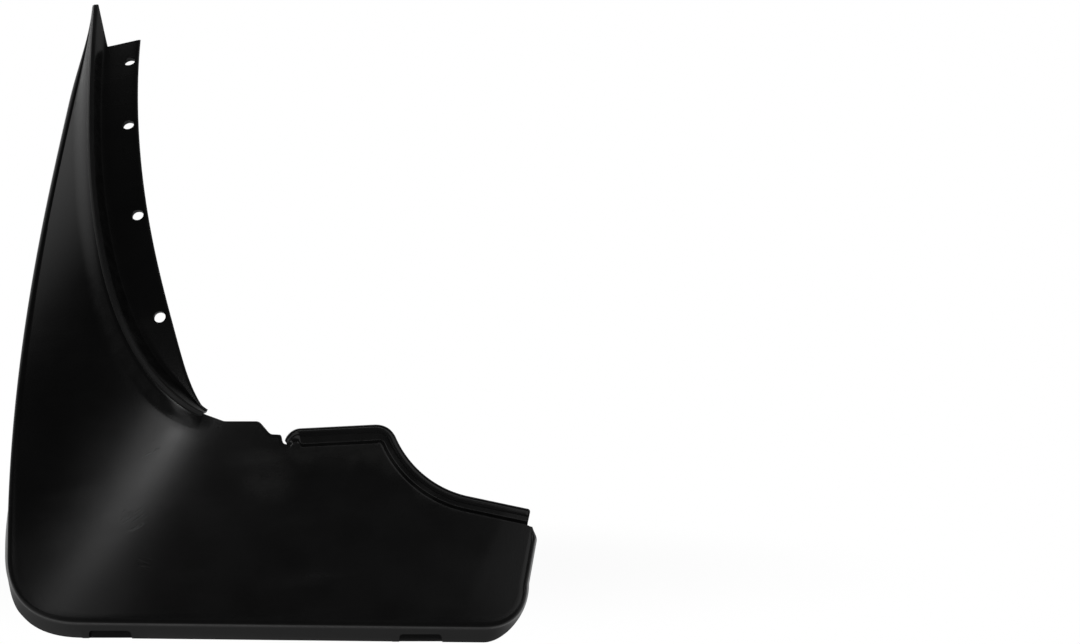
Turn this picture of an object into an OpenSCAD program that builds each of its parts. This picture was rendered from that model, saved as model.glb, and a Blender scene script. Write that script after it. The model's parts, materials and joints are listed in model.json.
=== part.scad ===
// Moulded mud flap for the rear edge of a wheel arch.
// Front view: X runs across the panel, Z up, and Y runs away from the viewer towards the wheel.
// The origin is the lowest fixing hole, where its axis leaves the visible face of the arch flange.

/* [Panel] */
// Width of the flat panel between the starts of its two side roundings
panel_w = 279; // [250:1:340]
// Height of the tab on the panel's top edge above the lowest edge
panel_h = 121; // [111:1:148]
// Wall thickness of the skin and the flange
wall = 2.5; // [1.8:0.1:3.2]
// Radius of the lower corner under the wing
left_corner = 36; // [20:1:50]
// Radius of the lower corner at the far end
right_corner = 20; // [12:1:30]

/* [Wing] */
// Height of the wing tip above the lowest edge
wing_h = 367; // [303:1:443]
// Slope of the wing side beyond the diagonal bend, in degrees
bend_angle = 17; // [8:1:26]
// Direction of the bend line below the horizontal, in degrees
bend_turn = 54; // [40:1:60]
// Half width of the bend at the arch corner
bend_half = 36; // [10:1:45]
// Growth of that half width per millimetre along the bend line
bend_grow = 0.18; // [0:0.02:0.3]
// Offset of the bend's middle from the arch corner towards the wing
bend_shift = 12; // [0:1:20]
// Distance beyond the bend line at which the wing starts to sweep back with the arch
sweep_start = 48; // [40:1:90]
// Radius of the wing's backward sweep
sweep_r = 132; // [110:1:220]

/* [Skirt] */
// Radius of the rounded edge between the skin and the skirt
edge_r = 4; // [3.4:0.1:6]
// Depth of the skirt behind the rounded edge
skirt_d = 7; // [4:0.5:14]
// Outward flare of the skirt along the bottom edge
bottom_flare = 8.5; // [0:0.5:10]
// Outward flare of the skirt at the far end
side_flare = 0.8; // [0:0.1:4]
// Width of each blind pocket in the bottom skirt
pocket_w = 23; // [12:1:30]
// Height of the pockets above the skirt's lower edge
pocket_h = 4.6; // [3:0.1:5]
// Distance of the first pocket from the wing side
pocket_left = 53; // [45:1:70]
// Distance of the second pocket from the far end
pocket_right = 57; // [45:1:80]

/* [Arch flange] */
// Radius of the wheel arch that the flange lies on
arch_r = 450; // [400:5:600]
// Roll of the flange about the view direction, in degrees
arch_roll = 11; // [0:1:15]
// Depth of the flange face behind the panel at its lower end
flange_back = 10; // [7:0.5:16]
// Sideways run of the return wall between ridge and flange
wall_run = 3.5; // [2:0.1:6]
// Diameter of the four fixing holes
hole_d = 6.5; // [4:0.1:8]
// Distance of the hole centres from the flange's free edge
hole_inset = 5.6; // [4.8:0.1:8]

/* [Rim and trims] */
// Radius of the concave cut-out in the top edge
rim_r = 55.5; // [50:0.5:60]
// Width of the recessed band along the cut-out
rim_band = 6.8; // [6:0.1:8]
// Width of the recessed band along the straight top edge
top_band = 8.6; // [6:0.1:10]
// Depth of that recess
rim_drop = 2.6; // [1.5:0.1:4]
// Width of the step between recess and panel
rim_step = 2; // [1.5:0.1:3]
// Reach of the rim trim's legs over the rim
trim_leg = 2.4; // [1.5:0.1:3]
// Thickness of the rim trim at its nose
trim_nose = 1.7; // [1:0.1:2.2]
// Width of the capping strip on the arch ridge
cap_w = 3.6; // [2.6:0.1:4.4]
// Height of the capping strip
cap_h = 1.2; // [0.8:0.1:2]
// Rise of the skin to the ridge below the capping strip
ridge_rise = 1.8; // [0.5:0.1:3]

/* [Hidden] */

// Height of the skirt's start above the lowest edge
bottom_z = edge_r + bottom_flare;
// Rise of the bottom edge towards the wing
bottom_rise = 2.5;
// Corner of the arch, where the diagonal bend starts
bend_apex = [97, panel_h - 1];
bend_line = [-cos(bend_turn), -sin(bend_turn)];
bend_normal = [-sin(bend_turn), cos(bend_turn)];
// Half width of the stretch over which the sweep sets in
sweep_blend = 25;

// Columns along each stretch of the rim, from the wing tip to the far end
arch_cols = 50;
bow_cols = 14;
run_cols = 8;
arc_cols = bow_cols + run_cols;
top_cols = 7;
corner_cols = 6;
curl_cols = 6;
// Rows between the rim rows and the skirt
mid_rows = 8;

function lerp(a, b, t) = a + (b - a) * t;
function unit(v) = v / norm(v);
function clamp(v) = max(0, min(1, v));
function smooth(v) = let (u = clamp(v)) u * u * (3 - 2 * u);
function bez2(p, t) = lerp(lerp(p[0], p[1], t), lerp(p[1], p[2], t), t);
function bez3(p, t) = lerp(bez2([p[0], p[1], p[2]], t), bez2([p[1], p[2], p[3]], t), t);
function curve2(p, n) = [for (i = [1 : n]) bez2(p, i / n)];
function curve3(p, n) = [for (i = [0 : n]) bez3(p, i / n)];
function line(a, b, n) = [for (i = [1 : n]) lerp(a, b, i / n)];
function flip(list) = [for (k = [len(list) - 1 : -1 : 0]) list[k]];

// Zero below -1 and u above 1, with a smooth start between
function soft_ramp(u) = u <= -1 ? 0 : u >= 1 ? u : (2 * u + 1.5 * u * u - pow(u, 4) / 4 + 0.75) / 4;

// Depth of the skin's visible face at a front-view point
function skin_depth(q) =
    let (
        past = (q - bend_apex) * bend_normal,
        half = bend_half + bend_grow * max(0, (q - bend_apex) * bend_line),
        swept = sweep_blend * soft_ramp((past - sweep_start) / sweep_blend)
    )
    tan(bend_angle) * half * soft_ramp((past - bend_shift) / half) + swept * swept / (2 * sweep_r);

// Wall thickness measured along Y, so that the true wall keeps its thickness on a slope
function wall_y(q) =
    let (
        e = 0.5,
        dx = skin_depth(q + [e, 0]) - skin_depth(q - [e, 0]),
        dz = skin_depth(q + [0, e]) - skin_depth(q - [0, e])
    )
    wall * sqrt(1 + (dx * dx + dz * dz) / (4 * e * e));

// Depth of the flange's visible face: a cylinder about the wheel axle, rolled by arch_roll
axle_z = -5.055;
function arch_h(q) = q[1] * cos(arch_roll) - q[0] * sin(arch_roll) - axle_z;
function arch_y(q) = -sqrt(arch_r * arch_r - pow(arch_h(q), 2));
function flange_depth(q) = flange_back + arch_y(q) - arch_y(free_curve[3]);

// Ridge of the arch, from the wing tip down to the panel
arch_curve = [[17, wing_h], [28, wing_h - 79], [38, panel_h + 32], [105, panel_h + 4]];
// Free edge of the flange, from its top end down to the panel
free_curve = [[47.5, wing_h - 20], [48, wing_h - 72], [75, panel_h + 60], [104, panel_h + 5]];

// Places of the four holes along the free edge
hole_at = [0.1, 0.29, 0.51, 0.745];

// Tab, notch and rim along the panel's top edge
tab_start = [116, panel_h];
tab_end = [135, panel_h];
shelf_start = [141, panel_h - 7];
shelf_end = [147, panel_h - 7.3];
notch_left = [147.8, panel_h - 12];
curl_r = 7;
curl_start = [150.4, panel_h - 12.6];
curl_mid = curl_start + [curl_r, 0];
curl_end = curl_mid + [0, curl_r];
// Circle of the concave cut-out, measured to the skin's edge below the trim
rim_mid = [panel_w - 19.4, panel_h - 41.9 + rim_r];
rim_edge_r = rim_r + trim_nose;
rim_top_z = panel_h - 3.2;
// Overhang of the cut-out's far end past the panel
rim_over = 2.6;
function on_rim(a) = rim_mid + rim_edge_r * [cos(a), sin(a)];
// Point where the straight top edge would meet the cut-out
rim_corner = [rim_mid[0] - sqrt(pow(rim_edge_r, 2) - pow(rim_top_z - rim_mid[1], 2)), rim_top_z];
rim_fillet = 8;
corner_in = rim_corner + rim_fillet * unit(curl_end - rim_corner);
rim_start_a = 180 + asin((rim_mid[1] - rim_top_z) / rim_edge_r) + rim_fillet / rim_edge_r * 180 / PI;
// The cut-out runs out straight to the far end from this angle on
rim_end_a = 258;
run_start = on_rim(rim_end_a);
run_end = run_start + (panel_w + rim_over - run_start[0]) * [1, 1 / tan(-rim_end_a)];

// Places along the arch ridge, closer together towards the panel
arch_ease = 1.3;
arch_t = [for (i = [0 : arch_cols]) 1 - pow(1 - i / arch_cols, arch_ease)];
arch_edge = [for (t = arch_t) bez3(arch_curve, t)];
tab_cols = [5, 4];
tab_edge = concat(
    line(arch_curve[3], tab_start, tab_cols[0]), line(tab_start, tab_end, tab_cols[1]),
    line(tab_end, shelf_start, 2),
    line(shelf_start, shelf_end, 2), [notch_left, curl_start]
);
function on_curl(a) = curl_mid + curl_r * [-cos(a), sin(a)];
curl_edge = [for (i = [1 : curl_cols]) on_curl(90 * i / curl_cols)];
top_edge = concat(
    line(curl_end, corner_in, top_cols), curve2([corner_in, rim_corner, on_rim(rim_start_a)], corner_cols)
);
arc_edge = concat(
    [for (i = [1 : bow_cols]) on_rim(lerp(rim_start_a, rim_end_a, i / bow_cols))],
    line(run_start, run_end, run_cols)
);
edge = concat(arch_edge, tab_edge, curl_edge, top_edge, arc_edge);
cols = len(edge);

// First columns of the tab, the curl and the straight rim
tab_col = len(arch_edge);
curl_col = tab_col + len(tab_edge) - 1;
rim_col = curl_col + curl_cols;

// Outer outline, where the rounded edge starts
left_curve =
    [[15.6, wing_h - 1], [21, wing_h - 54], [-3.5, (wing_h + 39) / 2], [0.5, bottom_z + left_corner]];
corner_z = bottom_z + bottom_rise;
left_turn = [left_curve[3], [0.5, corner_z], [left_corner + 2, corner_z]];
// The far end leans in from its top to its lower corner
right_top = [panel_w + 2.9, panel_h - 57];
far_x = panel_w - 2.7;
right_turn = [[far_x - right_corner, bottom_z], [far_x, bottom_z], [far_x, bottom_z + right_corner]];

// Points at given shares of a path's length
function run_length(path, i) = i == 0 ? 0 : run_length(path, i - 1) + norm(path[i] - path[i - 1]);
function spread(path, shares) =
    let (s = [for (i = [0 : len(path) - 1]) run_length(path, i)], total = s[len(s) - 1])
    [for (f = shares)
        let (want = total * f, at = max([for (k = [0 : len(s) - 2]) s[k] < want - 1e-9 ? k : 0]))
        lerp(path[at], path[at + 1], (want - s[at]) / (s[at + 1] - s[at]))];
function shares(n, power) = [for (i = [1 : n]) pow(i / n, power)];

// Point of the straight bottom edge at a given X
bottom_ends = [left_turn[2], right_turn[0]];
bottom_run = bottom_ends[1] - bottom_ends[0];
function bottom_at(x) = bottom_ends[0] + bottom_run * (x - bottom_ends[0][0]) / bottom_run[0];
turn_half = 0.5;
left_side = concat(curve3(left_curve, 30), [for (i = [1 : 8]) bez2(left_turn, turn_half * i / 8)]);
left_foot = concat([for (i = [0 : 8]) bez2(left_turn, lerp(turn_half, 1, i / 8))], [bottom_at(tab_end[0])]);
far_side = concat([right_turn[0]], curve2(right_turn, 12), [right_top]);
foot_cols = tab_cols[0] + tab_cols[1];
side_ease = 1.2;
foot_ease = 1.6;
round_cols = 6;
outer = concat(
    spread(left_side, [for (t = arch_t) pow(t, side_ease)]),
    spread(left_foot, shares(foot_cols, foot_ease)),
    line(bottom_at(tab_end[0]), bottom_at(curl_end[0]), len(tab_edge) - foot_cols + curl_cols),
    line(bottom_at(curl_end[0]), bottom_at(rim_corner[0]), len(top_edge)),
    line(bottom_at(rim_corner[0]), right_turn[0], round_cols),
    spread(far_side, shares(arc_cols - round_cols, 1))
);

// Front-view direction into the skin from the edge, and out of it at the outer outline
function tangent(path, i) = unit(path[min(i + 1, len(path) - 1)] - path[max(i - 1, 0)]);
function inward(i) = let (t = tangent(edge, i)) [t[1], -t[0]];
function outward(i) = let (t = tangent(outer, i)) [t[1], -t[0]];

// Share of the arch ridge and of the rim recess in each column
ridge_fade = [10, 12];
function ridge_share(i) = 1 - smooth((i - tab_col + ridge_fade[0]) / ridge_fade[1]);
function rim_share(i) = smooth((i - curl_col) / curl_cols);

// Rows next to the edge: land or trim seat first, then the ridge slope or the rim step
ridge_rows = [0, cap_w / 2, 4, 8, 12];
function band(i) = lerp(top_band, rim_band, smooth((i - rim_col - top_cols) / corner_cols));
function rim_rows(i) = [0, trim_leg, band(i) - rim_step, band(i) - rim_step / 2, band(i)];
row_limit = [0, 0.78, 0.84, 0.9, 0.95];
// The rows draw together below the tab and round the curl, so that they never cross
tab_scale = 0.3;
curl_most = 0.73;
function curl_scale(i) =
    i >= rim_col ? 1
        : i >= curl_col ? lerp(tab_scale, curl_most, (i - curl_col) / (curl_cols - 1))
        : lerp(1, tab_scale, clamp((i - tab_col) / 4));
function row_at(i, k) =
    let (fixed = lerp(rim_rows(i)[k] * curl_scale(i), ridge_rows[k], ridge_share(i)))
    min(fixed, row_limit[k] * (outer[i] - edge[i]) * inward(i));
function ridge_lift(d) = ridge_rise * (1 - smooth((d - cap_w / 2) / (ridge_rows[4] - cap_w / 2)));
function rim_sink(i, d) = rim_drop * (1 - smooth((d - band(i)) / rim_step + 1));
function edge_depth(i, d) =
    rim_share(i) * rim_sink(i, d / curl_scale(i)) - ridge_share(i) * ridge_lift(d);

function in3d(q, y) = [q[0], y, q[1]];
function skin_inner(i, k) =
    let (d = row_at(i, k), q = edge[i] + d * inward(i))
    in3d(q, skin_depth(q) + edge_depth(i, d));

// Skirt section: distance out from the outline, and depth. A plain edge at the two ends grows into it,
// over the stretches of height in skirt_fade, which start at the heights in skirt_top.
round_steps = [25, 50, 75];
plain_edge = 0.6;
skirt_fade = [60, 10];
skirt_top = [wing_h - 4, right_top[1] + 2];
flare_fade = 0.6 * left_corner;
function skirt_share(i) =
    let (q = outer[i])
    q[0] < panel_w / 2 ? smooth((skirt_top[0] - q[1]) / skirt_fade[0])
        : smooth((skirt_top[1] - q[1]) / skirt_fade[1]);
function skirt_flare(i) =
    let (q = outer[i], low = 1 - smooth((q[1] - corner_z) / flare_fade))
    q[0] < panel_w / 2 ? bottom_flare * low
        : lerp(bottom_flare, side_flare, smooth((q[0] - right_turn[0][0]) / right_corner));
function skirt_front(flare) = concat(
    [for (a = round_steps) edge_r * [sin(a), 1 - cos(a)]],
    [[edge_r, edge_r + 0.2], [edge_r + flare, edge_r + 0.2 + skirt_d]]
);
function skirt_back(flare) =
    let (inner_r = edge_r - wall, run = unit([flare, skirt_d]))
    concat(
        [for (a = round_steps) [inner_r * sin(a), edge_r - inner_r * cos(a)]],
        [[inner_r, edge_r + 1.6], [edge_r + flare, edge_r + 0.2 + skirt_d] + wall * [-run[1], run[0]]]
    );
function plain_front(k) = plain_edge * [(k + 1) / 5, pow((k + 1) / 5, 2)];
function plain_back(k) = [plain_edge * (k + 1) / 5, wall - plain_edge * pow((k + 1) / 5, 2)];
function skirt_point(i, k, p, back) =
    let (e = lerp(back ? plain_back(k) : plain_front(k), p[k], skirt_share(i)))
    in3d(outer[i] + e[0] * outward(i), skin_depth(outer[i]) + e[1]);

function skin_front(i) =
    let (last = skin_inner(i, 4), from = [last[0], last[2]], skirt = skirt_front(skirt_flare(i)))
    concat(
        [for (k = [0 : 4]) skin_inner(i, k)],
        [for (k = [1 : mid_rows])
            let (q = lerp(from, outer[i], k / mid_rows)) in3d(q, skin_depth(q))],
        [for (k = [0 : 4]) skirt_point(i, k, skirt, false)]
    );
function skin_back(i) =
    let (front = skin_front(i), skirt = skirt_back(skirt_flare(i)))
    concat(
        [for (k = [0 : 4 + mid_rows])
            let (p = front[k]) p + [0, wall_y([p[0], p[2]]), 0]],
        [for (k = [0 : 4]) skirt_point(i, k, skirt, true)]
    );

// Return wall and flange: land beside the ridge, wall, fillet, then the drilled strip on the arch.
// All of it tapers over the last columns, where it runs out into the panel.
function run_out(i) = smooth((i - arch_cols + 9) / 9);
function land_w(i) = cap_w / 2 * (1 - 0.45 * run_out(i));
function wall_foot(i) = land_w(i) + wall_run * (1 - 0.9 * run_out(i));
min_strip = 0.8;
function strip_w(i) =
    let (root = edge[i] - wall_foot(i) * inward(i))
    max(min_strip, (root - bez3(free_curve, arch_t[i])) * inward(i));
function flange_point(i, e, shift) = let (q = edge[i] - e * inward(i)) in3d(q, flange_depth(q) + shift);
// Width of the rounding along the strip's free edge
function lip(i) = min(1.6, 0.3 * strip_w(i));
function flange_front(i) =
    let (top = skin_inner(i, 0), land = edge[i] - land_w(i) * inward(i), foot = wall_foot(i), w = strip_w(i))
    let (shoulder = in3d(land, top[1]), root = flange_point(i, foot, 0))
    concat(
        [top, shoulder, lerp(shoulder, root, 0.12) - [0, 0.3, 0], lerp(shoulder, root, 0.8)],
        [flange_point(i, foot + 0.1 * w, -0.1 * min(w, 6))],
        [for (s = [0.2, 0.45, 0.7]) flange_point(i, foot + w * s, 0)],
        [flange_point(i, foot + w - lip(i), 0), flange_point(i, foot + w, 0.6 * lip(i))]
    );
function flange_wall(i) = wall * arch_r / -arch_y(edge[i]);
function flange_backs(i) =
    let (top = skin_inner(i, 0), foot = wall_foot(i), w = strip_w(i), t = flange_wall(i))
    let (start = top + [0, wall_y(edge[i]), 0], root = flange_point(i, foot - land_w(i), t))
    concat(
        [start, lerp(start, root, 0.15), lerp(start, root, 0.4), lerp(start, root, 0.8), root],
        [for (s = [0.2, 0.45, 0.7]) flange_point(i, foot + w * s, t)],
        [flange_point(i, foot + w - lip(i), t), flange_point(i, foot + w, t)]
    );

// Closed shell between two sheets of points, one section a column.
// Seen from outside the front sheet, the sections run clockwise of the columns.
module shell(front, back) {
    n = len(front);
    m = len(front[0]);
    function a(i, k) = i * m + k;
    function b(i, k) = n * m + i * m + k;
    polyhedron(
        points = concat([for (s = front) each s], [for (s = back) each s]),
        faces = concat(
            [for (i = [0 : n - 2], k = [0 : m - 2]) each [
                [a(i, k), a(i + 1, k + 1), a(i, k + 1)], [a(i, k), a(i + 1, k), a(i + 1, k + 1)],
                [b(i, k), b(i, k + 1), b(i + 1, k + 1)], [b(i, k), b(i + 1, k + 1), b(i + 1, k)]]],
            [for (i = [0 : n - 2]) each [
                [a(i, 0), b(i, 0), b(i + 1, 0)], [a(i, 0), b(i + 1, 0), a(i + 1, 0)],
                [a(i, m - 1), b(i + 1, m - 1), b(i, m - 1)],
                [a(i, m - 1), a(i + 1, m - 1), b(i + 1, m - 1)]]],
            [for (k = [0 : m - 2]) each [
                [a(0, k), b(0, k + 1), b(0, k)], [a(0, k), a(0, k + 1), b(0, k + 1)],
                [a(n - 1, k), b(n - 1, k), b(n - 1, k + 1)],
                [a(n - 1, k), b(n - 1, k + 1), a(n - 1, k + 1)]]]
        ),
        convexity = 10
    );
}

// Hole centres on the flange face, and the outward direction of each hole
function hole_front(t) = bez3(free_curve, t) - [hole_inset, 0];
function hole_mid(t) = let (q = hole_front(t)) in3d(q, flange_depth(q));
function hole_lean(t) = asin(arch_h(hole_front(t)) / arch_r);
datum = hole_mid(hole_at[3]);

// Moves children onto a hole, with Z along the hole's axis towards the viewer
module at_hole(t) {
    translate(hole_mid(t)) rotate([0, -arch_roll, 0]) rotate([90 - hole_lean(t), 0, 0]) children();
}

// Cuts the flange short of the wing tip, along the slope of the return wall's end, which
// also slants back from the ridge
module flange_end_cut() {
    vee = [edge[0][0] + 7.7, wing_h - 27];
    far = 60;
    rise = far * tan(arch_roll + 2);
    tip = edge[0] + [cap_w / 2 + 0.2, 1];
    turn = 10;
    pivot = in3d([tip[0], 0], skin_depth(edge[0]));
    translate(pivot) rotate([0, 0, turn]) translate(-pivot)
        translate([0, -arch_r, 0]) rotate([90, 0, 0]) mirror([0, 0, 1]) linear_extrude(3 * arch_r)
            polygon([vee, tip, tip + [0, far], vee + [far, far + rise], vee + [far, rise]]);
}

// Blind pockets in the flared part of the bottom skirt, which follow its lower edge
pocket_slope = 1.5;
pocket_round = 2;
pocket_back = edge_r + 2.2 + skirt_d;
function skirt_y(z) = edge_r + 0.2 + skirt_d * max(0, 1 - z / max(bottom_flare, 0.5));
function pocket_lift(x) = bottom_at(x)[1] - bottom_z;
function pocket_corner(side, a) =
    [side * (pocket_w / 2 - pocket_round + pocket_round * cos(a)), pocket_h - pocket_round * (1 - sin(a))];
pocket_outline = concat(
    [[-pocket_w / 2 - pocket_slope, -bottom_z], [pocket_w / 2 + pocket_slope, -bottom_z]],
    [for (a = [0 : 15 : 90]) pocket_corner(1, a)],
    [for (a = [90 : -15 : 0]) pocket_corner(-1, a)]
);

// Hollow of a pocket, open to the front
module pocket_cut(x) {
    front = edge_r + 0.6;
    translate([x, front, pocket_lift(x)]) rotate([90, 0, 0]) mirror([0, 0, 1])
        linear_extrude(pocket_back - front) polygon(pocket_outline);
}

// Block behind the skirt that the hollow is cut into: its front face lies inside the skirt's wall
module pocket_block(x) {
    length = pocket_w + 2 * (pocket_slope + wall);
    back = pocket_back + wall;
    roof = pocket_h + wall;
    section = [[skirt_y(roof) + 1, roof], [skirt_y(0) + 0.3, 0], [back, 0], [back, roof]];
    translate([x - length / 2, 0, pocket_lift(x)]) rotate([90, 0, 90])
        linear_extrude(length) polygon(section);
}

module flap_skin() {
    places = [pocket_left, panel_w - pocket_right];
    color([0.10, 0.10, 0.11]) translate(-datum) difference() {
        union() {
            shell([for (i = [0 : cols - 1]) skin_front(i)], [for (i = [0 : cols - 1]) skin_back(i)]);
            for (x = places) pocket_block(x);
        }
        for (x = places) pocket_cut(x);
    }
}

module arch_flange() {
    color([0.08, 0.08, 0.09]) translate(-datum) difference() {
        shell(
            [for (i = [0 : arch_cols]) flip(flange_front(i))],
            [for (i = [0 : arch_cols]) flip(flange_backs(i))]
        );
        flange_end_cut();
        for (t = hole_at) at_hole(t) cylinder(d = hole_d, h = 8 * wall, center = true, $fn = 64);
    }
}

// Domed strip on the two lands of the ridge
function cap_base(i) =
    let (s = skin_inner(i, 1), r = skin_inner(i, 0), f = flange_front(i)[1])
    [f, lerp(f, r, 0.5), r, lerp(r, s, 0.5), s];
cap_dome = [0.45, 0.88, 1, 0.88, 0.45];
module arch_capping() {
    base = [for (i = [0 : arch_cols]) cap_base(i)];
    dome = [for (s = base) [for (k = [0 : 4]) s[k] - [0, cap_h * cap_dome[k], 0]]];
    color([0.13, 0.13, 0.14]) translate(-datum) shell(dome, base);
}

// Channel-shaped edge trim over the rim, from the notch to the far end
function trim_seat(i) =
    let (seat = skin_inner(i, 1), tip = skin_inner(i, 0), t = [0, wall, 0])
    [seat + t, lerp(seat, tip, 0.5) + t, tip + t, tip + t / 2, tip, lerp(tip, seat, 0.5), seat];
trim_bulge = [[0, 0.8], [0, 1.4], [-0.7, 1], [-1, 0], [-0.7, -1], [0, -1.4], [0, -0.8]];
trim_lip = 1;
function trim_skin(i) =
    let (seat = trim_seat(i), out = -trim_nose * inward(i))
    [for (k = [0 : 6])
        let (g = trim_bulge[k]) seat[k] + in3d(-g[0] * out, trim_lip * g[1])];
module rim_trim() {
    list = [for (i = [curl_col : cols - 1]) i];
    color([0.12, 0.12, 0.13]) translate(-datum)
        shell([for (i = list) trim_skin(i)], [for (i = list) trim_seat(i)]);
}

flap_skin();
arch_flange();
arch_capping();
rim_trim();
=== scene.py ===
"""Looks of a moulded wheel-arch mud flap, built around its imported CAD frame.

The mould lines repeat the part's own curves in millimetres: X runs across the panel, Z up and
Y away from the viewer. A piece is laid out as a grid, with columns along the top edge from the
wing tip to the far end and rows across it. The grid is extruded to a wall and then cut.
"""

import json
import logging
import math
from collections.abc import Callable, Sequence
from dataclasses import dataclass
from enum import Enum

import bmesh
import bpy
import numpy as np
from bmesh.types import BMesh, BMVert
from bpy.types import Material, Node, NodeSocket, NodeTree, Object, World
from mathutils import Matrix, Quaternion, Vector


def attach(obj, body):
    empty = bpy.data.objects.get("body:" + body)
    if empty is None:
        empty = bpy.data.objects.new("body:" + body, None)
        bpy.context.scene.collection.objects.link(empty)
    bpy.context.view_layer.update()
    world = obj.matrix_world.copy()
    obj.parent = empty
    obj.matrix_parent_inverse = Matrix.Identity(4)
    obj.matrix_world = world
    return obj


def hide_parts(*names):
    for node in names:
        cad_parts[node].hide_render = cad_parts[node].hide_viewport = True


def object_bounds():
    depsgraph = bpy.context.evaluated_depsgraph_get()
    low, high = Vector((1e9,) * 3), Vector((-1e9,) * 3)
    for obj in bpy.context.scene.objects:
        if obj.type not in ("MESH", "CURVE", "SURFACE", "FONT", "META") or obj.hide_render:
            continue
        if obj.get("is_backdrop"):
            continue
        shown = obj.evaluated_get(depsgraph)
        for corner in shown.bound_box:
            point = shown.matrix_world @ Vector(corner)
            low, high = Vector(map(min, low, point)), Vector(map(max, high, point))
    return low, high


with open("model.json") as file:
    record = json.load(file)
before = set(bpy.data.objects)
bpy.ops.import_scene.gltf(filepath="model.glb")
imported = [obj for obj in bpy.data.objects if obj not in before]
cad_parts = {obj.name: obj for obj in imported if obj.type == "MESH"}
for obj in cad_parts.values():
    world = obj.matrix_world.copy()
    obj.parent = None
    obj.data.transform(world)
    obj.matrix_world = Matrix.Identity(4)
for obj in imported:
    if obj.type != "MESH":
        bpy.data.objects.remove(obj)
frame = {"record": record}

Array = np.ndarray
Pair = tuple[float, float]
Triple = tuple[float, float, float]
Stretch = tuple[int, Callable[[Array], Array]]

BODY = "root"
MM = 0.001
ARCH_CLOSE = 1.3
LOG = logging.getLogger("mud_flap")


# Mould lines

def lerp(a: Array, b: Array, t: Array) -> Array:
    """Blends a into b by the share t."""
    return a + (b - a) * t


def smooth(v: Array) -> Array:
    """Eases from 0 to 1 while v runs from 0 to 1."""
    u = np.clip(v, 0.0, 1.0)
    return u * u * (3.0 - 2.0 * u)


def unit(v: Array) -> Array:
    """Scales each vector to length 1."""
    return v / np.linalg.norm(v, axis=-1, keepdims=True)


def bezier(points: Sequence[Array], t: Array) -> Array:
    """Points of a Bezier curve of any degree, at one place t or one a column.

    Each control point is one point, or one a column.
    """
    level = [np.asarray(p, float) for p in points]
    share = np.asarray(t, float)[..., None]
    while len(level) > 1:
        level = [lerp(a, b, share) for a, b in zip(level, level[1:])]
    return level[0]


def steps(n: int) -> Array:
    """Shares at the ends of n even steps from 0 to 1."""
    return np.linspace(0.0, 1.0, n + 1)[1:]


def spread(path: Array, shares: Array) -> Array:
    """Points at given shares, from 0 to 1, of the length of a closely spaced path."""
    gaps = np.linalg.norm(np.diff(path, axis=0), axis=1)
    run = np.concatenate([[0.0], np.cumsum(gaps)]) / gaps.sum()
    return np.stack([np.interp(shares, run, path[:, k]) for k in range(2)], axis=1)


def along(stretches: Sequence[Stretch], u: Array) -> Array:
    """Points on a line of several stretches.

    Each stretch has its number of columns, and a function that gives its points for shares
    from 0 to 1.
    """
    u = np.clip(u, 0.0, sum(n for n, _ in stretches))
    points = np.zeros((len(u), 2))
    start = 0
    for n, place in stretches:
        share = (u - start) / n
        here = (share >= 0.0) & (share <= 1.0)
        points[here] = place(share[here])
        start += n
    return points


def straights(marks: Sequence[Array], counts: Sequence[int]) -> list[Stretch]:
    """Straight stretches from mark to mark, each with its number of columns."""
    return [(n, lambda s, a=a, b=b: bezier([a, b], s)) for n, a, b in zip(counts, marks, marks[1:])]


def closing(s: Array) -> Array:
    """Shares along the arch, closer together towards the panel."""
    return 1.0 - (1.0 - s) ** ARCH_CLOSE


def flat_points(*pairs: Pair) -> list[Array]:
    """Front-view points from pairs of X and Z."""
    return [np.array(p, float) for p in pairs]


def in3d(q: Array, y: Array) -> Array:
    """Front-view points at given depths."""
    return np.stack([q[..., 0], np.broadcast_to(y, q.shape[:-1]), q[..., 1]], axis=-1)


def set_back(points: Array, y: Array) -> Array:
    """Moves points away from the viewer, each by its own depth."""
    return points + in3d(np.zeros((len(points), 2)), y)


def soft_ramp(u: Array) -> Array:
    """Zero below -1 and u above 1, with a smooth start between."""
    v = np.clip(u, -1.0, 1.0)
    start = (2.0 * v + 1.5 * v * v - v**4 / 4.0 + 0.75) / 4.0
    return np.where(u >= 1.0, u, start)


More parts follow.
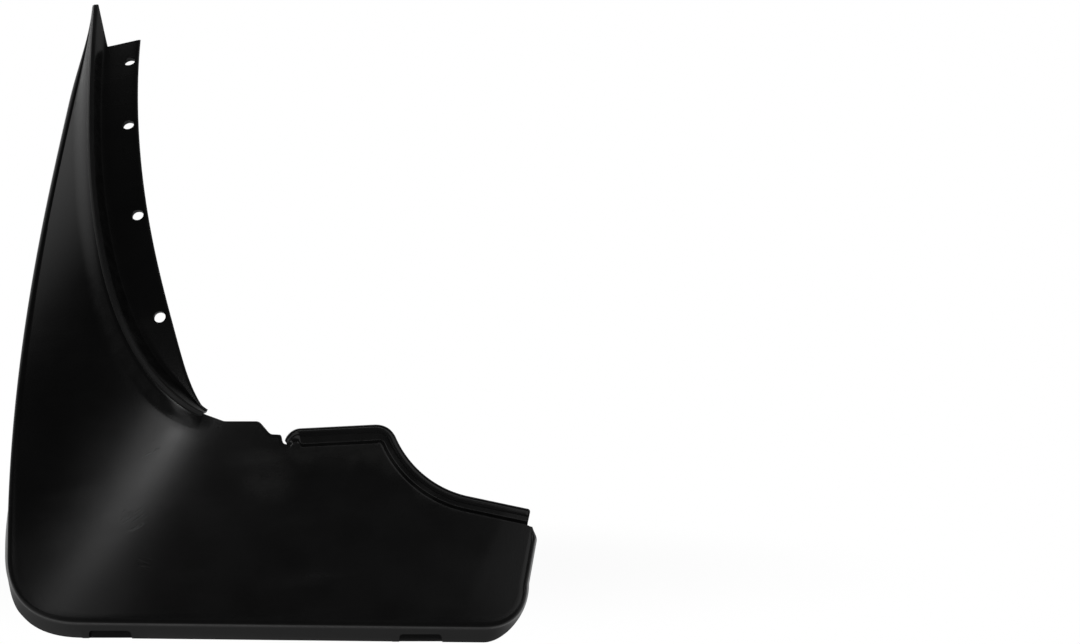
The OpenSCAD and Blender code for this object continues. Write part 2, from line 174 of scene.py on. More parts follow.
@dataclass(frozen=True)
class MouldLines:
    """The flap's curves and sizes, in millimetres, degrees and grid columns.

    They are the part's own, apart from the shallow fold at the far end, which only the looks have.
    Columns u may be fractions, and a method that takes them gives one value or point a column.
    Points q are X and Z as seen from the front.
    """

    panel_w: float = 279.0
    panel_h: float = 121.0
    wall: float = 2.5
    left_corner: float = 36.0
    right_corner: float = 20.0
    wing_h: float = 367.0
    bend_angle: float = 17.0
    bend_turn: float = 54.0
    bend_half: float = 36.0
    bend_grow: float = 0.18
    bend_shift: float = 12.0
    bend_at: Pair = (97.0, 1.0)
    sweep_start: float = 48.0
    sweep_r: float = 132.0
    sweep_blend: float = 25.0
    edge_r: float = 4.0
    skirt_d: float = 7.0
    bottom_flare: float = 8.5
    side_flare: float = 0.8
    bottom_rise: float = 2.5
    near_side_in: float = 0.5
    far_side_in: float = 2.7
    far_top_out: float = 2.9
    far_top_down: float = 57.0
    pocket_w: float = 23.0
    pocket_h: float = 4.6
    pocket_left: float = 53.0
    pocket_right: float = 57.0
    arch_r: float = 450.0
    arch_roll: float = 11.0
    axle_z: float = -5.055
    fold_angle: float = 0.95
    fold_round: float = 1.0
    fold_low: Pair = (37.0, 13.0)
    fold_high: Pair = (13.0, 67.0)
    flange_back: float = 10.0
    wall_run: float = 3.5
    wall_taper: float = 0.9
    land_taper: float = 0.45
    least_strip: float = 0.8
    hole_inset: float = 5.6
    lowest_hole: float = 0.745
    curl_r: float = 7.0
    rim_r: float = 55.5
    rim_in: float = 19.4
    rim_down: float = 41.9
    rim_fillet: float = 8.0
    rim_end: float = 258.0
    top_drop: float = 3.2
    rim_band: float = 6.8
    top_band: float = 8.6
    rim_drop: float = 2.6
    rim_step: float = 2.0
    rim_over: float = 2.6
    trim_leg: float = 2.4
    trim_nose: float = 1.7
    cap_w: float = 3.6
    cap_h: float = 1.2
    ridge_rise: float = 1.8
    ridge_w: float = 12.0
    arch_cols: int = 50
    tab_cols: int = 51
    curl_col: int = 65
    rim_col: int = 71
    last_col: int = 106
    curl_cols: int = 6
    straight_cols: int = 7
    corner_cols: int = 6
    bow_cols: int = 14
    end_cols: int = 8
    ridge_fade: tuple[int, int] = (10, 12)
    ease_cols: int = 3
    run_out_cols: int = 9
    corner_ease: float = 0.3

    def bottom_z(self) -> float:
        """Height at which the skirt starts along the bottom edge."""
        return self.edge_r + self.bottom_flare

    def arch_curve(self) -> list[Array]:
        """Ridge of the arch, from the wing tip down to the panel."""
        top, low = self.wing_h, self.panel_h
        return flat_points((17, top), (28, top - 79), (38, low + 32), (105, low + 4))

    def free_curve(self) -> list[Array]:
        """Free edge of the flange, from its top end down to the panel."""
        top, low = self.wing_h, self.panel_h
        return flat_points((47.5, top - 20), (48, top - 72), (75, low + 60), (104, low + 5))

    def arch_share(self, u: Array) -> Array:
        """Place along the arch curve of each column."""
        return closing(np.clip(u / self.arch_cols, 0.0, 1.0))

    def edge_stretches(self) -> list[Stretch]:
        """Top edge: arch ridge, tab, shelf, notch, curl, straight rim, rounded corner, cut-out."""
        h = self.panel_h
        tab = flat_points(
            (105, h + 4), (116, h), (135, h), (141, h - 7),
            (147, h - 7.3), (147.8, h - 12), (150.4, h - 12.6),
        )
        tab_counts = (5, 4, 2, 2, 1, 1)
        curl_mid = tab[-1] + [self.curl_r, 0.0]
        curl_end = curl_mid + [0.0, self.curl_r]
        radius, top_z, mid = self.rim_r + self.trim_nose, h - self.top_drop, self.rim_mid()
        corner = self.rim_corner()
        corner_in = corner + self.rim_fillet * unit(curl_end - corner)
        first = math.pi + math.asin((mid[1] - top_z) / radius) + self.rim_fillet / radius
        last = math.radians(self.rim_end)
        run_start = mid + radius * np.array([math.cos(last), math.sin(last)])
        run_w = self.panel_w + self.rim_over - run_start[0]
        run_end = run_start + run_w * np.array([1.0, -1.0 / math.tan(last)])

        def curl(s: Array) -> Array:
            """Quarter circle from the notch up to the straight rim."""
            a = s * math.pi / 2
            return curl_mid + self.curl_r * np.stack([-np.cos(a), np.sin(a)], axis=1)

        def cut_out(s: Array) -> Array:
            """Concave bow of the cut-out."""
            a = lerp(first, last, s)
            return mid + radius * np.stack([np.cos(a), np.sin(a)], axis=1)

        arc_start = cut_out(np.zeros(1))[0]
        return [
            (self.arch_cols, lambda s: bezier(self.arch_curve(), closing(s))),
            *straights(tab, tab_counts),
            (self.curl_cols, curl),
            (self.straight_cols, lambda s: bezier([curl_end, corner_in], s)),
            (self.corner_cols, lambda s: bezier([corner_in, corner, arc_start], s)),
            (self.bow_cols, cut_out),
            (self.end_cols, lambda s: bezier([run_start, run_end], s)),
        ]

    def rim_mid(self) -> Array:
        """Centre of the concave cut-out."""
        return np.array([self.panel_w - self.rim_in, self.panel_h - self.rim_down + self.rim_r])

    def rim_corner(self) -> Array:
        """Point where the straight top edge would meet the cut-out."""
        mid, top_z = self.rim_mid(), self.panel_h - self.top_drop
        reach = math.sqrt((self.rim_r + self.trim_nose) ** 2 - (top_z - mid[1]) ** 2)
        return np.array([mid[0] - reach, top_z])

    def edge(self, u: Array) -> Array:
        """Front-view points of the top edge, with the tab's corners eased."""
        stretches, n = self.edge_stretches(), self.ease_cols
        ease = self.corner_ease * smooth((u - self.arch_cols) / n) * smooth((self.rim_col + n - u) / n)
        taps = np.linspace(-1.0, 1.0, 5)
        return sum(along(stretches, u + k * ease) for k in taps) / len(taps)

    def beside(self, u: Array, d: Array) -> Array:
        """Front-view points at a distance inside the top edge, or outside it where d is negative."""
        return self.edge(u) + d[:, None] * self.across(self.edge, u)

    def left_turn(self) -> list[Array]:
        """Rounded lower corner under the wing."""
        x, z = self.near_side_in, self.bottom_z()
        low = z + self.bottom_rise
        return flat_points((x, z + self.left_corner), (x, low), (self.left_corner + 2, low))

    def right_turn(self) -> list[Array]:
        """Rounded lower corner at the far end."""
        x, z = self.panel_w - self.far_side_in, self.bottom_z()
        return flat_points((x - self.right_corner, z), (x, z), (x, z + self.right_corner))

    def right_top(self) -> Array:
        """Upper end of the far side."""
        return np.array([self.panel_w + self.far_top_out, self.panel_h - self.far_top_down])

    def bottom_at(self, x: float) -> Array:
        """Point of the straight bottom edge at a given X."""
        a, b = self.left_turn()[2], self.right_turn()[0]
        return a + (b - a) * (x - a[0]) / (b[0] - a[0])

    def outer_stretches(self) -> list[Stretch]:
        """Outer outline where the rounded edge starts: wing side, lower edge, far side."""
        top, dense = self.wing_h, np.linspace(0.0, 1.0, 200)
        turn, far = self.left_turn(), self.right_turn()
        side = flat_points((15.6, top - 1), (21, top - 54), (-3.5, (top + 39) / 2), turn[0])
        left_side = np.concatenate([bezier(side, dense), bezier(turn, 0.5 * dense[1:])])
        tab_x, curl_x, rim_x = 135.0, 157.4, self.rim_corner()[0]
        side_close, foot_close = 1.2, 1.6
        left_foot = np.concatenate([bezier(turn, 0.5 + 0.5 * dense), [self.bottom_at(tab_x)]])
        far_side = np.concatenate([bezier(far, dense), [self.right_top()]])
        marks = [self.bottom_at(tab_x), self.bottom_at(curl_x), self.bottom_at(rim_x), far[0]]
        return [
            (self.arch_cols, lambda s: spread(left_side, closing(s) ** side_close)),
            (9, lambda s: spread(left_foot, s**foot_close)),
            *straights(marks, (12, 13, 6)),
            (16, lambda s: spread(far_side, s)),
        ]

    def outer(self, u: Array) -> Array:
        """Front-view points of the outer outline, one a column."""
        return along(self.outer_stretches(), u)

    def across(self, line: Callable[[Array], Array], u: Array) -> Array:
        """Front-view direction square to a line of columns, to its right hand."""
        t = unit(line(np.clip(u + 1, 0, self.last_col)) - line(np.clip(u - 1, 0, self.last_col)))
        return np.stack([t[:, 1], -t[:, 0]], axis=1)

    def depth(self, q: Array) -> Array:
        """Depth of the skin's visible face at front-view points."""
        turn = math.radians(self.bend_turn)
        rel = q - np.array([self.bend_at[0], self.panel_h - self.bend_at[1]])
        past = rel @ np.array([-math.sin(turn), math.cos(turn)])
        down = rel @ np.array([-math.cos(turn), -math.sin(turn)])
        half = self.bend_half + self.bend_grow * np.maximum(0.0, down)
        swept = self.sweep_blend * soft_ramp((past - self.sweep_start) / self.sweep_blend)
        bent = math.tan(math.radians(self.bend_angle)) * half * soft_ramp((past - self.bend_shift) / half)
        return bent + swept**2 / (2 * self.sweep_r) + self.end_fold(q)

    def end_fold(self, q: Array) -> Array:
        """Depth that the shallow slanting fold at the panel's far end adds."""
        low, high = flat_points(*((self.panel_w - inset, z) for inset, z in (self.fold_low, self.fold_high)))
        run = unit(high - low)
        past = (q - low) @ np.array([run[1], -run[0]])
        return math.tan(math.radians(self.fold_angle)) * (past + np.sqrt(past**2 + self.fold_round**2)) / 2

    def wall_y(self, q: Array) -> Array:
        """Wall thickness along Y, so that the true wall keeps its thickness on a slope."""
        e = 0.5
        dx = self.depth(q + [e, 0.0]) - self.depth(q - [e, 0.0])
        dz = self.depth(q + [0.0, e]) - self.depth(q - [0.0, e])
        return self.wall * np.sqrt(1.0 + (dx * dx + dz * dz) / (4 * e * e))

    def arch_y(self, q: Array) -> Array:
        """Depth of the wheel arch's cylinder, before it is set back."""
        roll = math.radians(self.arch_roll)
        h = q[..., 1] * math.cos(roll) - q[..., 0] * math.sin(roll) - self.axle_z
        return -np.sqrt(self.arch_r**2 - h**2)

    def flange_depth(self, q: Array) -> Array:
        """Depth of the flange's visible face at front-view points."""
        return self.flange_back + self.arch_y(q) - self.arch_y(self.free_curve()[3])

    def datum(self) -> Array:
        """The lowest hole's centre on the flange face, which is the part's origin."""
        q = bezier(self.free_curve(), np.array(self.lowest_hole)) - [self.hole_inset, 0.0]
        return np.array([q[0], float(self.flange_depth(q)), q[1]])

    def ridge_share(self, u: Array) -> Array:
        """How much of the arch ridge each column has."""
        ahead, over = self.ridge_fade
        return 1.0 - smooth((u - self.tab_cols + ahead) / over)

    def rim_share(self, u: Array) -> Array:
        """How much of the rim recess each column has."""
        return smooth((u - self.curl_col) / self.curl_cols)

    def band(self, u: Array) -> Array:
        """Width of the recessed band, wider along the straight top edge."""
        turned = (u - self.rim_col - self.straight_cols) / self.corner_cols
        return lerp(self.top_band, self.rim_band, smooth(turned))

    def curl_scale(self, u: Array) -> Array:
        """Draws the rows together below the tab and round the curl."""
        marks = [self.tab_cols, self.tab_cols + 4, self.curl_col, self.rim_col - 1, self.rim_col]
        return np.interp(u, marks, [1.0, 0.3, 0.3, 0.73, 1.0])

    def row_at(self, u: Array, k: float) -> Array:
        """Distance of row k from the top edge, where k runs from 0 to 4 and may be a fraction."""
        a, b, reach = self.trim_leg, self.rim_step, self.band(u)
        flat = np.zeros_like(u)
        rim = [flat, flat + a, reach - b, reach - b / 2, reach]
        ridge, limit = [0.0, self.cap_w / 2, 4.0, 8.0, self.ridge_w], [0.0, 0.78, 0.84, 0.9, 0.95]
        room = np.sum((self.outer(u) - self.edge(u)) * self.across(self.edge, u), axis=1)
        share, scale = self.ridge_share(u), self.curl_scale(u)
        rows = [np.minimum(lerp(rim[n] * scale, ridge[n], share), limit[n] * room) for n in range(5)]
        low = min(int(k), 3)
        return lerp(rows[low], rows[low + 1], k - low)

    def edge_depth(self, u: Array, d: Array) -> Array:
        """Depth that the ridge's rise and the rim's recess add to the skin."""
        land = self.cap_w / 2
        lift = self.ridge_rise * (1 - smooth((d - land) / (self.ridge_w - land)))
        sink = self.rim_drop * (1 - smooth((d / self.curl_scale(u) - self.band(u)) / self.rim_step + 1))
        return self.rim_share(u) * sink - self.ridge_share(u) * lift

    def skin_row(self, u: Array, k: float) -> Array:
        """Points of the skin's visible face on a row near the top edge."""
        d = self.row_at(u, k)
        q = self.beside(u, d)
        return in3d(q, self.depth(q) + self.edge_depth(u, d))

    def flange_row(self, u: Array, e: Array, shift: Array) -> Array:
        """Points on the flange's cylinder, e outside the ridge and shifted along Y."""
        q = self.beside(u, -e)
        return in3d(q, self.flange_depth(q) + shift)

    def run_out(self, u: Array) -> Array:
        """How far the flange has tapered where it runs out into the panel."""
        return smooth((u - self.arch_cols + self.run_out_cols) / self.run_out_cols)

    def land_w(self, u: Array) -> Array:
        """Width of the flange's land beside the ridge."""
        return self.cap_w / 2 * (1 - self.land_taper * self.run_out(u))

    def land_row(self, u: Array) -> Array:
        """Points of the land's outer edge, as deep as the ridge."""
        return in3d(self.beside(u, -self.land_w(u)), self.skin_row(u, 0.0)[:, 1])

    def wall_foot(self, u: Array) -> Array:
        """Distance of the return wall's foot from the ridge."""
        return self.land_w(u) + self.wall_run * (1 - self.wall_taper * self.run_out(u))

    def strip_w(self, u: Array) -> Array:
        """Width of the drilled strip beyond the return wall's foot."""
        root, free = self.beside(u, -self.wall_foot(u)), bezier(self.free_curve(), self.arch_share(u))
        return np.maximum(self.least_strip, np.sum((root - free) * self.across(self.edge, u), axis=1))

    def to_part(self, points: Array) -> Array:
        """Takes mould-line points to the part's frame, in metres."""
        return (points - self.datum()) * MM


# Mesh helpers

WEAR_AND_LIGHT = "wear_and_light"
ACROSS = "across"


@dataclass
class Shell:
    """A closed wall between two sheets of points that share their columns and rows."""

    front: Array
    back: Array
    # How pale each front point is painted: edge wear, and painted light on some rows.
    wear_and_light: Array

    def to_bmesh(self) -> BMesh:
        """Lays a grid on the front sheet, with its wear_and_light and across values, and extrudes it to the
        back one.
        """
        cols, rows = self.front.shape[:2]
        bm = bmesh.new()
        at_col = bm.verts.layers.int.new("col")
        at_row = bm.verts.layers.int.new("row")
        worn_and_lit, across = [bm.verts.layers.float.new(name) for name in (WEAR_AND_LIGHT, ACROSS)]
        bmesh.ops.create_grid(bm, x_segments=cols - 1, y_segments=rows - 1, size=1.0)
        for v in bm.verts:
            v[at_col] = round((v.co.x + 1) / 2 * (cols - 1))
            v[at_row] = round((v.co.y + 1) / 2 * (rows - 1))
        grown = bmesh.ops.extrude_face_region(bm, geom=bm.faces[:], use_keep_orig=True)
        behind = {g for g in grown["geom"] if isinstance(g, BMVert)}
        for v in bm.verts:
            i, k = v[at_col], v[at_row]
            v.co = (self.back if v in behind else self.front)[i, k]
            v[worn_and_lit] = 0.0 if v in behind else self.wear_and_light[i, k]
            v[across] = k / (rows - 1)
        for name in ("col", "row"):
            bm.verts.layers.int.remove(bm.verts.layers.int[name])
        bmesh.ops.recalc_face_normals(bm, faces=bm.faces[:])
        return bm


def to_object(bm: BMesh, name: str) -> Object:
    """Turns a bmesh, which is freed, into a scene object at the origin."""
    mesh = bpy.data.meshes.new(name)
    bm.to_mesh(mesh)
    bm.free()
    obj = bpy.data.objects.new(name, mesh)
    bpy.context.scene.collection.objects.link(obj)
    return obj


class Cut(Enum):
    """What a tool solid does to a piece."""

    ADD = "UNION"
    REMOVE = "DIFFERENCE"


def apply_tools(obj: Object, tools: Sequence[tuple[Object, Cut]]) -> None:
    """Adds and cuts tool solids in order, keeps the result as the piece's mesh and removes the tools."""
    for tool, cut in tools:
        mod = obj.modifiers.new(tool.name, "BOOLEAN")
        mod.object = tool
        mod.operation = cut.value
        mod.solver = "EXACT"
    bpy.context.view_layer.update()
    done = bpy.data.meshes.new_from_object(obj.evaluated_get(bpy.context.evaluated_depsgraph_get()))
    obj.modifiers.clear()
    old, obj.data = obj.data, done
    done.name = obj.name
    bpy.data.meshes.remove(old)
    for tool, _ in tools:
        bpy.data.meshes.remove(tool.data)


def soften(obj: Object, crease: float) -> None:
    """Shades a piece smooth, apart from edges sharper than crease degrees."""
    mesh = obj.data
    mesh.polygons.foreach_set("use_smooth", [True] * len(mesh.polygons))
    mesh.set_sharp_from_angle(angle=math.radians(crease))


def swept_solid(corners: Sequence[Array], shift: Triple) -> BMesh:
    """Closed solid that a flat face sweeps on a straight way, in the part's frame."""
    bm = bmesh.new()
    face = bm.faces.new([bm.verts.new(p) for p in corners])
    grown = bmesh.ops.extrude_face_region(bm, geom=[face], use_keep_orig=True)
    verts = [g for g in grown["geom"] if isinstance(g, BMVert)]
    bmesh.ops.translate(bm, verts=verts, vec=shift)
    bmesh.ops.recalc_face_normals(bm, faces=bm.faces[:])
    return bm


def prism(outline: Sequence[Sequence[float]], along_y: Pair, lines: MouldLines) -> BMesh:
    """Closed prism in the part's frame, from a front-view outline and the depths of its two ends."""
    near, far = along_y
    corners = lines.to_part(in3d(np.array(outline, float), near))
    return swept_solid(corners, (0.0, (far - near) * MM, 0.0))


def columns(first: float, last: float, fine: int) -> Array:
    """Evenly spaced columns, with fine of them to each column of the part's source."""
    return np.linspace(first, last, round((last - first) * fine) + 1)


# Finishes

# Pale colour of dust, and of the sheen painted on the skin.
DUST_AND_SHEEN = (0.034, 0.034, 0.033)


@dataclass(frozen=True)
class Finish:
    """Values of one moulded or extruded surface.

    Its grain is in millimetres. worn_and_lit is the pale colour of worn edges, scratches and painted light. A
    surface with scuffs_and_sheen has the placed scuffs, and placed spots of dust that also paint a sheen.
    """

    name: str
    colour: Triple
    worn_and_lit: Triple
    roughness: float
    rough_spread: float
    specular: float
    grain_size: float
    grain_depth: float
    scratch: float
    smudge: float
    lines: float = 0.0
    scuffs_and_sheen: bool = False


SKIN = Finish(
    "skin_plastic", colour=(0.005, 0.005, 0.0051), worn_and_lit=(0.026, 0.026, 0.026), roughness=0.215,
    rough_spread=0.06, specular=0.5, grain_size=0.9, grain_depth=0.012, scratch=0.05, smudge=1.0,
    scuffs_and_sheen=True,
)
FLANGE = Finish(
    "flange_plastic", colour=(0.005, 0.005, 0.0051), worn_and_lit=(0.035, 0.035, 0.035), roughness=0.26,
    rough_spread=0.04, specular=0.45, grain_size=0.8, grain_depth=0.02, scratch=0.1, smudge=0.8,
)
CAPPING = Finish(
    "capping_rubber", colour=(0.02, 0.02, 0.0202), worn_and_lit=(0.03, 0.03, 0.03), roughness=0.5,
    rough_spread=0.06, specular=0.45, grain_size=0.5, grain_depth=0.02, scratch=0.1, smudge=0.5, lines=1.0,
)
TRIM = Finish(
    "trim_rubber", colour=(0.007, 0.007, 0.0072), worn_and_lit=(0.02, 0.02, 0.02), roughness=0.22,
    rough_spread=0.05, specular=0.5, grain_size=0.5, grain_depth=0.02, scratch=0.1, smudge=0.5, lines=1.0,
)


class Tree:
    """Short hand for building a node tree.

    Terms are sockets or plain values, and a method that makes a value returns its socket.
    """

    def __init__(self, tree: NodeTree) -> None:
        """Starts on an existing tree."""
        self.tree = tree

    @classmethod
    def fresh(cls, owner: Material | World) -> "Tree":
        """Starts on the emptied tree of a material or world."""
        owner.use_nodes = True
        owner.node_tree.nodes.clear()
        return cls(owner.node_tree)

    def add(self, kind: str, **values: object) -> Node:
        """Adds a node.

        Args:
            kind: Blender's name of the node type.
            **values: Node properties, or input values by the input's name with _ for a blank.

        Returns:
            The node.
        """
        node = self.tree.nodes.new(kind)
        for key, value in values.items():
            if hasattr(node, key):
                setattr(node, key, value)
            else:
                node.inputs[key.replace("_", " ")].default_value = value
        return node

    def link(self, value: object, into: NodeSocket) -> None:
        """Links a socket into an input, or sets the input to a plain value."""
        if isinstance(value, NodeSocket):
            self.tree.links.new(value, into)
        else:
            into.default_value = value

    def math(self, operation: str, *terms: object) -> NodeSocket:
        """Result of a Math node, by Blender's name of the operation."""
        node = self.add("ShaderNodeMath", operation=operation)
        for n, term in enumerate(terms):
            self.link(term, node.inputs[n])
        return node.outputs[0]

    def times(self, a: object, b: object) -> NodeSocket:
        """Product of two sockets or numbers."""
        return self.math("MULTIPLY", a, b)

    def most(self, masks: Sequence[NodeSocket]) -> NodeSocket:
        """Greatest of several masks."""
        total = masks[0]
        for mask in masks[1:]:
            total = self.math("MAXIMUM", total, mask)
        return total

    def split(self, vector: NodeSocket) -> dict[str, NodeSocket]:
        """X, Y and Z of a vector, by name."""
        node = self.add("ShaderNodeSeparateXYZ")
        self.link(vector, node.inputs[0])
        return {part.name: part for part in node.outputs}

    def pair(self, operation: str, vector: NodeSocket, other: Sequence[float]) -> NodeSocket:
        """Value that a vector makes with a fixed one, such as their distance."""
        node = self.add("ShaderNodeVectorMath", operation=operation)
        self.link(vector, node.inputs[0])
        self.link(other, node.inputs[1])
        return node.outputs["Value"]

    def span(self, value: NodeSocket, low: float, high: float, to: Pair = (0.0, 1.0)) -> NodeSocket:
        """Maps a value smoothly from low..high to another range."""
        node = self.add("ShaderNodeMapRange", interpolation_type="SMOOTHSTEP")
        self.link(value, node.inputs["Value"])
        for n, number in enumerate((low, high, *to), 1):
            node.inputs[n].default_value = number
        return node.outputs[0]

    def noise(self, vector: NodeSocket, scale: object, detail: float, rough: float) -> NodeSocket:
        """Noise texture with a number of octaves, and the share of the fine ones."""
        node = self.add("ShaderNodeTexNoise", Detail=detail, Roughness=rough)
        self.link(vector, node.inputs["Vector"])
        self.link(scale, node.inputs["Scale"])
        return node.outputs[0]

    def turned(self, vector: NodeSocket, degrees: float, scale: Triple) -> NodeSocket:
        """Turns coordinates about Y and scales them, which stretches a pattern along a direction."""
        spun = self.add("ShaderNodeMapping")
        spun.inputs["Rotation"].default_value = (0.0, math.radians(degrees), 0.0)
        self.link(vector, spun.inputs["Vector"])
        pulled = self.add("ShaderNodeMapping")
        pulled.inputs["Scale"].default_value = scale
        self.link(spun.outputs[0], pulled.inputs["Vector"])
        return pulled.outputs[0]


class Effects:
    """Node groups that the finishes share."""

    def __init__(self) -> None:
        """Builds each group once."""
        self.grain = self._grain()
        self.marks = self._marks()
        self.wear_and_light = self._wear_and_light()

    @staticmethod
    def _start(name: str, takes: Sequence[str], gives: Sequence[str]) -> tuple[Tree, dict, dict]:
        """Opens a group with a coordinate input and named value sockets.

        Args:
            name: Name of the group.
            takes: Value inputs.
            gives: Value outputs.

        Returns:
            The tree, its inputs by name and its output sockets by name.
        """
        group = bpy.data.node_groups.new(name, "ShaderNodeTree")
        group.interface.new_socket("Vector", in_out="INPUT", socket_type="NodeSocketVector")
        for label in takes:
            group.interface.new_socket(label, in_out="INPUT", socket_type="NodeSocketFloat")
        for label in gives:
            group.interface.new_socket(label, in_out="OUTPUT", socket_type="NodeSocketFloat")
        tree = Tree(group)
        source = tree.add("NodeGroupInput")
        sink = tree.add("NodeGroupOutput")
        return tree, {s.name: s for s in source.outputs}, {s.name: s for s in sink.inputs}

    def _grain(self) -> NodeTree:
        """Fine pebbled grain of a spark-eroded mould, with slow drifts in tone."""
        tree, has, out = self._start("mould_grain", ("Size",), ("Height", "Tone"))
        rate = tree.math("DIVIDE", 1000.0, has["Size"])
        fine = tree.noise(has["Vector"], rate, 3.0, 0.6)
        cells = tree.add("ShaderNodeTexVoronoi", feature="SMOOTH_F1", Smoothness=0.6)
        tree.link(has["Vector"], cells.inputs["Vector"])
        tree.link(rate, cells.inputs["Scale"])
        pebble = tree.times(cells.outputs["Distance"], 0.8)
        tree.link(tree.math("SUBTRACT", fine, pebble), out["Height"])
        slow, slow_share = tree.noise(has["Vector"], 22.0, 4.0, 0.55), 0.75
        mixed = tree.math("ADD", tree.times(slow, slow_share), tree.times(fine, 1.0 - slow_share))
        tree.link(mixed, out["Tone"])
        return tree.tree

    def _marks(self) -> NodeTree:
        """Hairline scratches in three directions, and wiped smudges that run across."""
        tree, has, out = self._start("handling_marks", ("Scratches", "Smudges"), ("Scratch", "Smudge"))
        vector, thin, edge = has["Vector"], 900.0, 0.035
        layers = []
        for degrees, rate, low in ((38.0, 9.0, 0.665), (-24.0, 7.0, 0.685), (72.0, 11.0, 0.69)):
            streak = tree.noise(tree.turned(vector, degrees, (rate, thin, thin)), 1.0, 1.0, 0.4)
            patch = tree.noise(tree.turned(vector, degrees + 11.0, (1.0, 1.0, 1.0)), 17.0 + rate, 2.0, 0.5)
            layers.append(tree.times(tree.span(streak, low, low + edge), tree.span(patch, 0.5, 0.66)))
        tree.link(tree.times(tree.most(layers), has["Scratches"]), out["Scratch"])
        wipe = tree.noise(tree.turned(vector, 4.0, (9.0, 30.0, 75.0)), 1.0, 4.0, 0.6)
        cloud = tree.noise(vector, 14.0, 3.0, 0.5)
        both = tree.times(tree.span(wipe, 0.46, 0.72), tree.span(cloud, 0.4, 0.62))
        tree.link(tree.times(both, has["Smudges"]), out["Smudge"])
        return tree.tree

    def _wear_and_light(self) -> NodeTree:
        """Paler paint for worn edges and for painted light, broken up along its run."""
        tree, has, out = self._start("wear_and_painted_light", ("Edge",), ("WearAndLight",))
        broken = tree.noise(has["Vector"], 160.0, 4.0, 0.65)
        gate = tree.span(broken, 0.35, 0.75, (0.25, 1.0))
        tree.link(tree.times(has["Edge"], gate), out["WearAndLight"])
        return tree.tree


